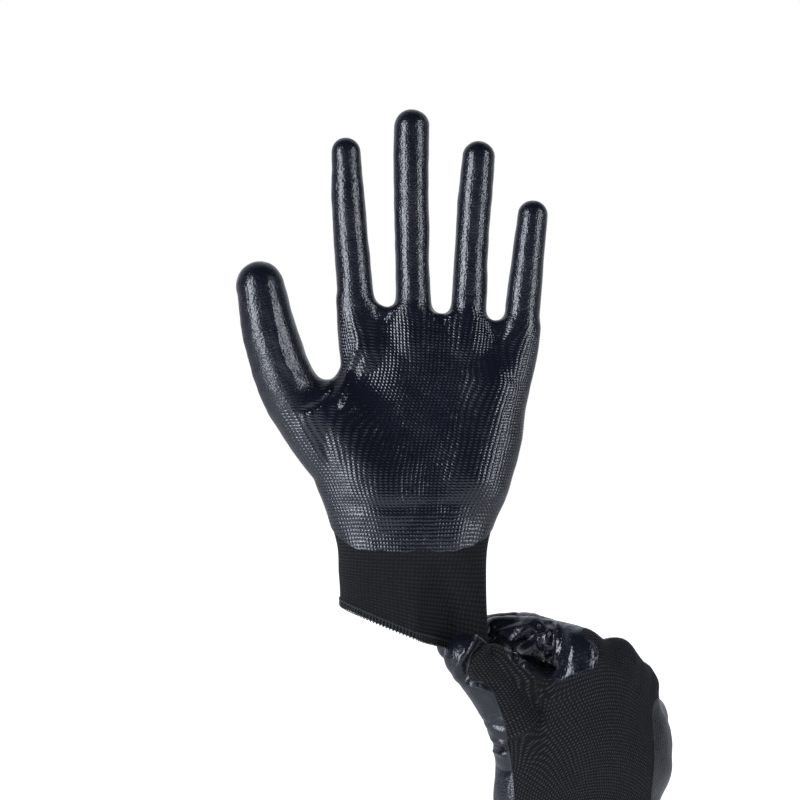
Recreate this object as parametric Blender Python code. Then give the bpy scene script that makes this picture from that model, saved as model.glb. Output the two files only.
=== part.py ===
"""A pair of knitted work gloves with a dipped nitrile palm.

The left glove is held upright with its fingers spread and its palm towards -Y. The right glove pinches
the lower corner of the left cuff between thumb and index finger, with its back towards -Y.

Each glove is a seamless knitted liner, made as the knitting machine makes it (five stalls, the hand and
the elastic cuff), a nitrile skin over the palm side and the fingertips, an elastic yarn laid in the cuff,
and an overlocked hem. Each stall is two rigid lengths, split at the crease where the glove folds.

Lengths are in millimetres until a mesh is made, which is in metres, +Z up. The origin is the centre of
the left glove's wrist opening.
"""

import math
from collections import namedtuple

import bmesh
import bpy
from mathutils import Vector

MM = 0.001

# Layers, from the outside in. A glove's sizes below are those of its outermost surface.
SKIN = 0.4
LAYER_GAP = 0.3
KNIT = 0.7
LINER = SKIN + LAYER_GAP
INSIDE = LINER + KNIT

JOINT_GAP = 0.3
STALL_SIDES = 12
BODY_SIDES = 24
BODY_ROUNDNESS = 2.4  # exponent of the hand's superellipse sections; 2 is an ellipse
DOME_LATITUDES = (0, 35, 62, 82)
SKIN_BACK_EDGE = 0.35  # the skin ends this share of the radius behind the stall's axis
TIP_DIP = 2.0  # the skin closes all round a fingertip from this far below its dome
WEB_DROP = 1.5  # the liner's top wall between the fingers is this much thicker than the rest

HEM_HEIGHT = 3.0
HEM_LIP = 0.5
ELASTIC_RADIUS = 0.35
ELASTIC_TURNS = 4
ELASTIC_POINTS = 24
ELASTIC_CLEARANCE = 0.9

# One cross-section of the hand or cuff. yaw turns its width axis about Z in degrees, tilt is how much
# it rises across that axis, and pinch is how far its +X end is flattened.
Section = namedtuple("Section", "z x y half_width half_depth yaw tilt pinch")

# One finger's stall. root runs inside the hand up to the stall's mouth, and path from the mouth over the
# crease to the centre of the fingertip. There is a radius for each point of both.
Stall = namedtuple("Stall", "name root root_radii path radii palmar")

# A whole glove. back is +1 where the back of the hand lies towards the sections' +depth axis.
Glove = namedtuple("Glove", "name hem_z skin_z cuff_top back sections stalls bent")


def stall(name, root, path, radii, palmar=(0, -1, 0)):
    root = [Vector(point) for point in root]
    path = [Vector(point) for point in path]
    split = len(root)
    return Stall(name, root, radii[:split], path, radii[split:], Vector(palmar).normalized())


LEFT = Glove(
    name="left",
    hem_z=-7.5,
    skin_z=34.0,
    cuff_top=50.0,
    back=1,
    bent=False,
    sections=[
        Section(-7.5, 1.3, 0, 35.3, 21.0, 0, -0.40, 0.80),
        Section(5, 0.8, 0, 34.8, 21.0, 0, -0.24, 0.66),
        Section(19, 0.2, 0, 34.3, 21.0, 0, -0.08, 0.28),
        Section(34, 0.2, 0, 35.3, 20.5, 0, 0, 0),
        Section(50, 0.0, 0, 39.6, 20.0, 0, 0, 0),
        Section(65, 0.2, 0, 44.5, 19.5, 0, 0, 0),
        Section(81, 2.5, 0, 47.0, 18.5, 0, 0, 0),
        Section(97, 6.0, 0, 46.5, 16.5, 0, 0, 0),
        Section(112, 9.5, 0, 45.5, 14.5, 0, -0.02, 0),
        Section(134, 12.4, 0, 46.2, 11.5, 0, -0.08, 0),
    ],
    stalls=[
        stall("thumb", [(-25, -1, 62)], [(-54.5, -5, 102), (-63, -9, 132), (-70.4, -11, 155.4)],
              [15.0, 14.2, 12.0, 10.4], palmar=(0.5, -0.87, 0.0)),
        stall("index", [(-20, 0, 118)], [(-24.8, 0, 141), (-26.9, -2, 171), (-30.3, -5, 216.0)],
              [10.0, 8.7, 8.0, 7.7]),
        stall("middle", [(2, 0, 120)], [(1.2, 0, 143.5), (0.7, -2, 176), (-0.4, -6, 228.8)],
              [10.0, 8.5, 8.0, 8.2]),
        stall("ring", [(25, 0, 118)], [(26.8, 0, 142.5), (28.2, -2, 173), (30.7, -5, 214.2)],
              [10.0, 8.6, 8.1, 8.1]),
        stall("little", [(45, 0, 110)], [(50.4, 0, 134.5), (52.6, -1.5, 159), (56.0, -4, 187.6)],
              [9.5, 8.4, 7.6, 7.1]),
    ],
)

RIGHT = Glove(
    name="right",
    hem_z=-151.0,
    skin_z=-114.0,
    cuff_top=-98.0,
    back=-1,
    bent=True,
    sections=[
        Section(-151, 70, 8, 36.0, 22.0, 24, 0, 0),
        Section(-132, 72, 8, 34.5, 21.5, 24, 0, 0),
        Section(-114, 74, 8, 35.5, 21.0, 24, 0, 0),
        Section(-98, 77, 8, 39.5, 20.5, 25, 0, 0),
        Section(-82, 79, 8, 43.5, 20.0, 29, -0.12, 0),
        Section(-66, 88.5, 8, 39.0, 19.0, 34, -0.30, 0),
        Section(-50, 94, 9, 35.0, 17.0, 40, -0.50, 0),
        Section(-35, 97, 10.5, 33.0, 13.0, 44, -0.70, 0),
    ],
    stalls=[
        stall("thumb", [(68, 5, -92)], [(47, -11, -51), (37.5, -13.8, -34), (25.5, -15.4, -15.5)],
              [15.0, 13.4, 12.0, 10.4], palmar=(0.35, 0.93, 0.1)),
        stall("index", [(77, -4, -48), (80, -6, -16)],
              [(71.7, 6.3, -13), (55, 31, -8), (32.3, 30.5, -10.2), (19.6, 14.4, -14)],
              [9.5, 9.5, 8.7, 8.0, 7.8, 7.7]),
        stall("middle", [(91, 4, -50), (97, 2, -21)],
              [(88.2, 16.5, -20.5), (73, 41, -19.6), (50, 40, -34), (42, 22, -48)],
              [9.5, 9.5, 8.5, 8.0, 8.1, 8.2]),
        stall("ring", [(100, 12, -60), (108, 14, -33)],
              [(100, 27.8, -33.8), (86.5, 51, -35), (67, 45.8, -51), (62.4, 27.4, -64)],
              [9.5, 9.3, 8.6, 8.1, 8.1, 8.1]),
        stall("little", [(104, 19, -74), (114, 27, -50)],
              [(108, 39.3, -52.8), (98.9, 58.7, -57), (87, 54.7, -72.6), (83.4, 41.2, -84)],
              [9.0, 8.8, 8.4, 7.6, 7.3, 7.1]),
    ],
)


# ---------------------------------------------------------------- profiles and rings


def circle(radius):
    """(palmar, side) points round a stall."""
    turn = math.tau / STALL_SIDES
    return [(radius * math.cos(turn * i), radius * math.sin(turn * i)) for i in range(STALL_SIDES)]


def back_block(radius):
    """The outline of what is cut from the back of a stall's skin."""
    near, far, half = -SKIN_BACK_EDGE * radius, -2 * radius, 1.6 * radius
    return [(near, -half), (near, half), (far, half), (far, -half)]


def ring(center, axis, hinge, profile, cut):
    """A profile across a tube's axis, slid along the axis onto the plane through center with normal cut."""
    front = hinge.cross(axis).normalized()
    side = axis.cross(front)
    points = []
    for along_palmar, along_side in profile:
        out = front * along_palmar + side * along_side
        points.append(center + out - axis * (out.dot(cut) / axis.dot(cut)))
    return points


def smooth_step(value):
    value = min(max(value, 0.0), 1.0)
    return value * value * (3 - 2 * value)


def superellipse(section):
    """(across, depth) points of a section, with its pinched end flattened."""
    power = 2 / BODY_ROUNDNESS
    points = []
    for i in range(BODY_SIDES):
        angle = math.tau * i / BODY_SIDES
        c, s = math.cos(angle), math.sin(angle)
        across = math.copysign(abs(c) ** power, c)
        depth = math.copysign(abs(s) ** power, s)
        depth *= 1 - section.pinch * smooth_step(across / 0.5)
        points.append((across * section.half_width, depth * section.half_depth))
    return points


def offset(points, grow):
    """The closed 2D outline moved outwards by grow; it runs anticlockwise."""
    moved = []
    for i, (x, y) in enumerate(points):
        (x0, y0), (x1, y1) = points[i - 1], points[(i + 1) % len(points)]
        length = math.hypot(x1 - x0, y1 - y0)
        moved.append((x + grow * (y1 - y0) / length, y - grow * (x1 - x0) / length))
    return moved


def section_axes(section):
    """The section's width and depth axes."""
    yaw = math.radians(section.yaw)
    return Vector((math.cos(yaw), math.sin(yaw), section.tilt)), Vector((-math.sin(yaw), math.cos(yaw), 0))


def section_ring(section, grow, lift=0.0):
    """A section's outline in place, grown outwards and lifted."""
    across, depth = section_axes(section)
    center = Vector((section.x, section.y, section.z + lift))
    return [center + across * u + depth * v for u, v in offset(superellipse(section), grow)]


def section_at(sections, z):
    """The section between two listed ones, at height z."""
    for low, high in zip(sections, sections[1:]):
        if low.z <= z <= high.z:
            share = (z - low.z) / (high.z - low.z)
            return Section(*[a + (b - a) * share for a, b in zip(low, high)])
    raise ValueError(f"no section at {z}")


# ---------------------------------------------------------------- meshes


def material(name, colour, roughness):
    made = bpy.data.materials.new(name)
    made.use_nodes = True
    shader = made.node_tree.nodes["Principled BSDF"]
    shader.inputs["Base Color"].default_value = (*colour, 1)
    shader.inputs["Roughness"].default_value = roughness
    shader.inputs["Metallic"].default_value = 0
    return made


def split_quad(mesh, a, b, c, d):
    """Two triangles along the shorter diagonal, so that nested walls split the same way."""
    if (a.co - c.co).length <= (b.co - d.co).length:
        mesh.faces.new((a, b, c))
        mesh.faces.new((a, c, d))
    else:
        mesh.faces.new((a, b, d))
        mesh.faces.new((b, c, d))


def loft(name, rings, finish=None, joined=False):
    """A closed solid through rings, capped at both ends or, if joined, closed on itself."""
    mesh = bmesh.new()
    loops = [[mesh.verts.new(point * MM) for point in points] for points in rings]
    pairs = list(zip(loops, loops[1:]))
    if joined:
        pairs.append((loops[-1], loops[0]))
    else:
        mesh.faces.new(loops[0])
        mesh.faces.new(loops[-1])
    for low, high in pairs:
        for i in range(len(low)):
            j = (i + 1) % len(low)
            split_quad(mesh, low[i], low[j], high[j], high[i])
    bmesh.ops.recalc_face_normals(mesh, faces=mesh.faces)
    data = bpy.data.meshes.new(name)
    mesh.to_mesh(data)
    mesh.free()
    made = bpy.data.objects.new(name, data)
    bpy.context.scene.collection.objects.link(made)
    if finish:
        data.materials.append(finish)
        data.shade_smooth()
        data.set_sharp_from_angle(angle=math.radians(40))
    else:
        hide_tool(made)
    return made


def hide_tool(obj):
    obj.hide_render = True
    obj.display_type = "WIRE"


def combine(target, operation, tool):
    modifier = target.modifiers.new(f"{operation.lower()} {tool.name}", "BOOLEAN")
    modifier.operation = operation
    modifier.solver = "EXACT"
    modifier.object = tool


# ---------------------------------------------------------------- stalls


def heading(a, b):
    return (b - a).normalized()


def hinge_of(glove, finger):
    """The direction a stall folds about: across its axis and its palm side, or across its bend."""
    mouth, crease, beyond = finger.path[:3]
    if glove.bent and finger.name != "thumb":
        return heading(mouth, crease).cross(heading(crease, beyond)).normalized()
    return heading(mouth, crease).cross(finger.palmar).normalized()


def mouth_cut(finger):
    """The normal of the plane between the hand and the stall."""
    return (heading(finger.root[-1], finger.path[0]) + heading(finger.path[0], finger.path[1])).normalized()


def crease_cut(finger):
    """The normal of the plane across the stall's crease."""
    mouth, crease, beyond = finger.path[:3]
    return (heading(mouth, crease) + heading(crease, beyond)).normalized()


def base_rings(finger, hinge, shape, shrink, overrun=0.0):
    """The stall from its mouth to its crease."""
    mouth, crease = finger.path[:2]
    axis = heading(mouth, crease)
    gap = axis * (JOINT_GAP / 2 - overrun)
    return [
        ring(mouth + gap, axis, hinge, shape(finger.radii[0] - shrink), mouth_cut(finger)),
        ring(crease - gap, axis, hinge, shape(finger.radii[1] - shrink), crease_cut(finger)),
    ]


def tip_run_rings(finger, hinge, shape, shrink, overrun=0.0):
    """The stall from its crease to the last point before its fingertip's dome."""
    points, radii = finger.path[1:], finger.radii[1:]
    first = heading(points[0], points[1])
    rings = [ring(points[0] + first * (JOINT_GAP / 2 - overrun), first, hinge, shape(radii[0] - shrink),
                  crease_cut(finger))]
    for i in range(1, len(points) - 1):
        axis = (heading(points[i - 1], points[i]) + heading(points[i], points[i + 1])).normalized()
        rings.append(ring(points[i], axis, hinge, shape(radii[i] - shrink), axis))
    return rings


def tip_rings(finger, hinge, shrink):
    """The stall from its crease over its rounded fingertip."""
    rings = tip_run_rings(finger, hinge, circle, shrink)
    axis = heading(finger.path[-2], finger.path[-1])
    radius = finger.radii[-1] - shrink
    for degrees in DOME_LATITUDES:
        latitude = math.radians(degrees)
        center = finger.path[-1] + axis * (radius * math.sin(latitude))
        rings.append(ring(center, axis, hinge, circle(radius * math.cos(latitude)), axis))
    return rings


def make_base(name, glove, finger, outer, inner, finish):
    hinge = hinge_of(glove, finger)
    low_in, high_in = base_rings(finger, hinge, circle, inner)
    low_out, high_out = base_rings(finger, hinge, circle, outer)
    return loft(name, [low_in, high_in, high_out, low_out], finish, joined=True)


def make_tip(name, glove, finger, outer, inner, finish):
    hinge = hinge_of(glove, finger)
    inside = tip_rings(finger, hinge, inner)
    outside = tip_rings(finger, hinge, outer)
    return loft(name, inside[::-1] + outside, finish)


def open_back(skin, glove, finger, closed_tip):
    """Cuts the skin away along the back of a stall, where the liner is left bare."""
    hinge = hinge_of(glove, finger)
    spare = 2.0
    if closed_tip:
        rings = tip_run_rings(finger, hinge, back_block, 0, overrun=spare)
        axis = heading(finger.path[-2], finger.path[-1])
        end = finger.path[-1] - axis * TIP_DIP
        rings.append(ring(end, axis, hinge, back_block(finger.radii[-1]), axis))
    else:
        rings = base_rings(finger, hinge, back_block, 0, overrun=spare)
    combine(skin, "DIFFERENCE", loft(f"{skin.name}_back_cutter", rings))


def make_stall(glove, finger, finishes):
    """Both lengths of a stall, each a liner tube and the skin over it."""
    lengths = (("base", make_base, False), ("tip", make_tip, True))
    for label, make, closed_tip in lengths:
        name = f"{glove.name}_{finger.name}_{label}"
        make(f"{name}_knit", glove, finger, LINER, INSIDE, finishes["knit"])
        skin = make(f"{name}_skin", glove, finger, 0, SKIN, finishes["skin"])
        open_back(skin, glove, finger, closed_tip)


# ---------------------------------------------------------------- hand and cuff


def root_form(name, glove, finger, grow, overrun):
    """The solid root that a stall grows from, inside the hand up to the stall's mouth."""
    points = finger.root + finger.path[:1]
    first, last = heading(*points[:2]), heading(*points[-2:])
    hinge = first.cross(last).normalized() if len(points) == 3 else hinge_of(glove, finger)
    rings = [ring(points[0] - first * grow, first, hinge, circle(finger.root_radii[0] + grow), first)]
    if len(points) == 3:
        rings.append(ring(points[1], first, hinge, circle(finger.root_radii[1] + grow), first + last))
    end = points[-1] + last * (overrun - JOINT_GAP / 2)
    rings.append(ring(end, last, hinge, circle(finger.radii[0] + grow), mouth_cut(finger)))
    return loft(name, rings)


def hand_form(name, glove, low, grow, overrun=0.0, drop=0.0, finish=None):
    """The hand with its five finger roots as one solid. overrun lengthens its open ends."""
    sections = [s for s in glove.sections if s.z >= low]
    rings = [section_ring(s, grow) for s in sections]
    rings[-1] = section_ring(sections[-1], grow, lift=grow - drop)
    if overrun:
        rings.insert(0, section_ring(sections[0], grow, lift=-overrun))
    form = loft(name, rings, finish)
    for finger in glove.stalls:
        combine(form, "UNION", root_form(f"{name}_{finger.name}_root", glove, finger, grow, overrun))
    return form


def make_hand_knit(glove, finishes):
    name = f"{glove.name}_hand_knit"
    knit = hand_form(name, glove, glove.cuff_top, -LINER, finish=finishes["knit"])
    inside = hand_form(f"{name}_inside", glove, glove.cuff_top, -INSIDE, overrun=3, drop=WEB_DROP)
    combine(knit, "DIFFERENCE", inside)


def back_wall(name, glove):
    """A slab along the back of the hand, from below the skin's edge to above the finger roots."""
    sections = [s for s in glove.sections if s.z >= glove.skin_z]
    beyond = 25.0
    rings = []
    for i, section in enumerate(sections):
        across, depth = section_axes(section)
        near = depth * (glove.back * SKIN_BACK_EDGE * section.half_depth)
        far = depth * (glove.back * 3 * section.half_depth)
        half = across * (1.7 * section.half_width)
        lift = {0: -beyond, len(sections) - 1: beyond}.get(i, 0.0)
        center = Vector((section.x, section.y, section.z + lift))
        rings.append([center + near - half, center + near + half, center + far + half, center + far - half])
    return loft(name, rings)


def make_hand_skin(glove, finishes):
    name = f"{glove.name}_palm_skin"
    skin = hand_form(name, glove, glove.skin_z, 0, finish=finishes["skin"])
    combine(skin, "DIFFERENCE", hand_form(f"{name}_inside", glove, glove.skin_z, -SKIN, overrun=3))
    combine(skin, "DIFFERENCE", back_wall(f"{name}_back_cutter", glove))


def tube_wall(name, sections, outer, inner, finish, low_lift=0.0, high_lift=0.0):
    """An open tube through sections, between two offsets from the outermost surface."""
    lifts = [low_lift] + [0.0] * (len(sections) - 2) + [high_lift]
    inside = [section_ring(s, inner, lift) for s, lift in zip(sections, lifts)]
    outside = [section_ring(s, outer, lift) for s, lift in zip(sections, lifts)]
    return loft(name, inside + outside[::-1], finish, joined=True)


def make_cuff(glove, finishes):
    """The ribbed cuff, from its hem up to the hand."""
    sections = [s for s in glove.sections if s.z <= glove.cuff_top]
    tube_wall(f"{glove.name}_cuff_knit", sections, -LINER, -INSIDE, finishes["cuff"],
              low_lift=HEM_HEIGHT + LAYER_GAP, high_lift=-LAYER_GAP)


def make_hem(glove, finishes):
    """The overlocked edge, a flat-ended ring round the wrist opening."""
    bottom = glove.sections[0]
    tube_wall(f"{glove.name}_hem", [bottom, bottom], HEM_LIP - LINER, -INSIDE - HEM_LIP / 2, finishes["hem"],
              high_lift=HEM_HEIGHT)


def make_elastic(glove, finishes):
    """The covered rubber yarn laid in the cuff, one helix from near the hem to the hand."""
    low, high = glove.hem_z + 24, glove.cuff_top - 4
    steps = ELASTIC_TURNS * ELASTIC_POINTS
    grow = -INSIDE - ELASTIC_RADIUS - ELASTIC_CLEARANCE
    curve = bpy.data.curves.new(f"{glove.name}_cuff_elastic", "CURVE")
    curve.dimensions = "3D"
    curve.bevel_depth = ELASTIC_RADIUS * MM
    curve.bevel_resolution = 0
    curve.use_fill_caps = True
    curve.materials.append(finishes["elastic"])
    spline = curve.splines.new("POLY")
    spline.points.add(steps)
    for i, point in enumerate(spline.points):
        section = section_at(glove.sections, low + (high - low) * i / steps)
        outline = section_ring(section, grow)
        place = (i / ELASTIC_POINTS % 1) * BODY_SIDES
        first, share = int(place), place % 1
        spot = outline[first].lerp(outline[(first + 1) % BODY_SIDES], share)
        point.co = (*(spot * MM), 1)
    made = bpy.data.objects.new(curve.name, curve)
    bpy.context.scene.collection.objects.link(made)


def make_glove(glove, finishes):
    make_hand_knit(glove, finishes)
    make_hand_skin(glove, finishes)
    make_cuff(glove, finishes)
    make_hem(glove, finishes)
    make_elastic(glove, finishes)
    for finger in glove.stalls:
        make_stall(glove, finger, finishes)


def main():
    for obj in list(bpy.data.objects):
        bpy.data.objects.remove(obj)
    finishes = {
        "knit": material("knitted_nylon", (0.018, 0.018, 0.021), 0.85),
        "skin": material("nitrile", (0.014, 0.015, 0.021), 0.35),
        "cuff": material("ribbed_nylon", (0.012, 0.012, 0.013), 0.9),
        "hem": material("overlock_thread", (0.014, 0.014, 0.015), 0.8),
        "elastic": material("covered_rubber", (0.02, 0.02, 0.02), 0.7),
    }
    for glove in (LEFT, RIGHT):
        make_glove(glove, finishes)


main()
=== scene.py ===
"""The looks of a pair of knitted gloves with dipped nitrile palms.

Each glove is modelled as a hand-shaped surface, wrinkled where the fabric folds, and cut at its joints and
along the edge of the dip into knitted liners and nitrile skins. The cuffs are knitted rib with an
overlocked hem. Lengths are in millimetres until a mesh is made; +Z is up and -Y faces the camera.
"""

import math
from collections import namedtuple

import bpy
import numpy as np
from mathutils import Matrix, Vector, noise


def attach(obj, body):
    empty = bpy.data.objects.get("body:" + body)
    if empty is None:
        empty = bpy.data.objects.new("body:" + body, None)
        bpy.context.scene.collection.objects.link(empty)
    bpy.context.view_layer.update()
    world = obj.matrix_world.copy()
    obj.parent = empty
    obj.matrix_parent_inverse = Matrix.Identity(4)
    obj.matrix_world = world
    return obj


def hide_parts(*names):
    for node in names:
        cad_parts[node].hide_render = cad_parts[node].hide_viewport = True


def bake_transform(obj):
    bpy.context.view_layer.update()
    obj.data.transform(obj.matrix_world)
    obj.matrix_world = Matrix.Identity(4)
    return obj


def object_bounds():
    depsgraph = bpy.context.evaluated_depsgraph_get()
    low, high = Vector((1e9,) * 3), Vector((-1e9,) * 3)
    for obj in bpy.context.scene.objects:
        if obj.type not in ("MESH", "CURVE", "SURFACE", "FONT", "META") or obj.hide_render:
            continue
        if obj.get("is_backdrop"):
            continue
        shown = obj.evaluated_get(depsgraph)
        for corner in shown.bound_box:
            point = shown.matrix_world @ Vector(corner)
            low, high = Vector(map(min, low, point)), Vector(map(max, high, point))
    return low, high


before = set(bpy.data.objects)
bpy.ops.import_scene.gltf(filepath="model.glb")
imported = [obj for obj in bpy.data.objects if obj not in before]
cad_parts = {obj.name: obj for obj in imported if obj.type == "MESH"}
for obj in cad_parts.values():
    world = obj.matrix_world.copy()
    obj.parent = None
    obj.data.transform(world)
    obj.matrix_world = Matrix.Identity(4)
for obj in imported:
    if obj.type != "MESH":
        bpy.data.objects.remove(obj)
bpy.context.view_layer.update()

MM = 0.001
VOXEL = 1.15

# Depths of the fabric's layers below the outermost surface.
SKIN_OUTER = 0.0
SKIN_INNER = 0.40
KNIT_OUTER = 0.45
KNIT_INNER = 1.35
SKIN_FADE = 1.4  # the dip thins out over this distance from its edge
SKIN_EDGE = 0.12

# Stitches round the hand and round a stall: those of the liner, and those that show through the nitrile.
HAND_WALES, HAND_SHOWN = 168, 112
STALL_WALES, STALL_SHOWN = 40, 44
COURSE = 1.35
BAND_COURSE = 1.77
RIBS = 92
RIB_HEIGHT = 0.26
CUFF_COURSE = 1.77

ROUNDNESS = 2.4  # exponent of the hand's superellipse sections
FLATNESS = 2.6  # how many times wider than deep the hand is, for spacing its wales
OUTLINE_STEPS = 1441
FILLET = 6.0
FILLET_FULL, FILLET_GONE = 18.0, 30.0  # distances from a stall's mouth
TOUCH = 0.6  # rounding where a stall lies against something
CREASE_RUN = 12.0  # length over which a stall bends at its crease
MOUTH_PAST, MOUTH_SHARE = 5.5, 0.22  # how far past its mouth a stall starts to bend: at most, and of its base
DIP_BLEND = 8.0  # length over which the palm's dip edge turns into a stall's
STITCH_FADE, STALL_SMOOTHNESS = 13.0, 0.85  # where stitches fade out towards a stall, and by how much
WHITE, COOL_WHITE = (1, 1, 1), (0.84, 0.9, 1.0)

# One cross-section of the hand or cuff, as in the CAD part: yaw turns its width axis about Z in degrees,
# tilt is its rise across that axis, and pinch flattens its +X end.
Section = namedtuple("Section", "z x y half_width half_depth yaw tilt pinch")

# One stall: path runs from inside the hand to the centre of the fingertip, and mouth is the number of the
# point where the stall leaves the hand. The crease is the point after it. palmar holds the way the palm
# side faces at the first and last point; none is given where the bend shows it.
Stall = namedtuple("Stall", "name path radii mouth palmar back_edge")

# A bulge of flesh under the fabric, as a tapered capsule.
Pad = namedtuple("Pad", "path radii fillet")

# A fold in what faces the camera: a valley along a path of (x, z) points, or a ridge where depth is negative.
Fold = namedtuple("Fold", "path width depth")

# A patch of crumpled fabric round (x, z).
Crumple = namedtuple("Crumple", "x z radius depth")

# arch is how much the courses of knitting curve down to both sides, in rows per square millimetre. bare is
# the (x, z) outline of the knit that shows between the dipped parts facing the camera, where the dip doesn't
# simply end along the sides. relief is how much of the stitches shows through the nitrile.
Glove = namedtuple("Glove", "name back sections top cuff_top stalls pads folds crumples arch bare dip_edge "
                            "back_edge finger_fillet relief")


LEFT = Glove(
    name="left",
    back=1,
    top=142.0,
    cuff_top=50.0,
    dip_edge=32.5,
    arch=0.0,
    bare=[],
    back_edge=0.35,
    finger_fillet=FILLET,
    relief=1.0,
    sections=[
        Section(-7.5, 1.3, 0, 35.3, 21.0, 0, -0.40, 0.80),
        Section(5, 0.8, 0, 34.8, 21.0, 0, -0.24, 0.66),
        Section(19, 0.2, 0, 34.8, 21.0, 0, -0.08, 0.28),
        Section(34, 0.2, 0, 35.5, 20.5, 0, 0, 0),
        Section(50, 0.2, 0, 40.2, 20.0, 0, 0, 0),
        Section(65, 0.2, 0, 45.6, 19.0, 0, 0, 0),
        Section(81, 2.8, 0, 47.2, 17.0, 0, 0, 0),
        Section(97, 6.4, 0, 45.6, 14.4, 0, 0, 0),
        Section(112, 10.8, 0, 44.2, 12.0, 0, -0.02, 0),
        Section(128, 12.2, 0, 45.6, 10.0, 0, -0.06, 0),
        Section(143, 12.8, 0, 45.4, 7.2, 0, -0.13, 0),
    ],
    stalls=[
        Stall("thumb", [(-25, -1, 62), (-54.5, -5, 102), (-65.7, -9, 132), (-70.3, -11, 154.6)],
              [15.0, 14.1, 12.8, 11.2], 1, [(0.45, -0.89, 0), (0.45, -0.89, 0)], 0.35),
        Stall("index", [(-20, 0, 118), (-25.3, 0, 141), (-28, -2, 171), (-29.6, -4, 194), (-30.6, -5, 216.8)],
              [10.0, 8.9, 8.1, 7.9, 6.7], 1, [(0, -1, 0)] * 2, 0.35),
        Stall("middle", [(2, 0, 120), (0.9, 0, 143.5), (0.2, -2, 176), (-0.4, -5, 203), (-0.1, -6, 228.7)],
              [10.0, 8.3, 7.9, 8.4, 8.2], 1, [(0, -1, 0)] * 2, 0.35),
        Stall("ring", [(25, 0, 118), (26.4, 0, 142.5), (27.7, -2, 173), (29.3, -4, 195), (31.0, -5, 214.9)],
              [10.0, 8.4, 7.8, 8.1, 7.4], 1, [(0, -1, 0)] * 2, 0.35),
        Stall("little", [(45, 0, 110), (50.6, 0, 134.5), (52.9, -1.5, 159), (54.6, -3, 174),
                         (56.1, -4, 187.8)],
              [9.5, 8.4, 7.75, 7.5, 6.8], 1, [(0, -1, 0)] * 2, 0.35),
    ],
    pads=[
        Pad([(-14, -4, 62), (-40, -7, 96)], [13, 12.5], 16),
        Pad([(28, -4, 66), (38, -3, 106)], [12, 9.6], 14),
    ],
    folds=[
        Fold([(-52, 96), (-43, 100), (-37, 106), (-36, 112)], 1.3, 0.9),
        Fold([(-24, 130), (-29, 116), (-33, 103), (-36, 97)], 1.6, -0.8),
        Fold([(-50, 108), (-58, 118), (-62, 132), (-66, 148)], 1.6, -0.35),
        Fold([(-18, 146), (-14, 139), (-10, 146)], 1.3, 0.5),
        Fold([(9, 146), (13.5, 139), (18, 146)], 1.3, 0.5),
        Fold([(35, 138), (40, 130), (45, 138)], 1.3, 0.5),
        Fold([(-37, 56), (-20, 53), (6, 53.5), (38, 57)], 2.5, 0.3),
    ],
    crumples=[Crumple(-42, 100, 12, 0.25)],
)

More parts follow.
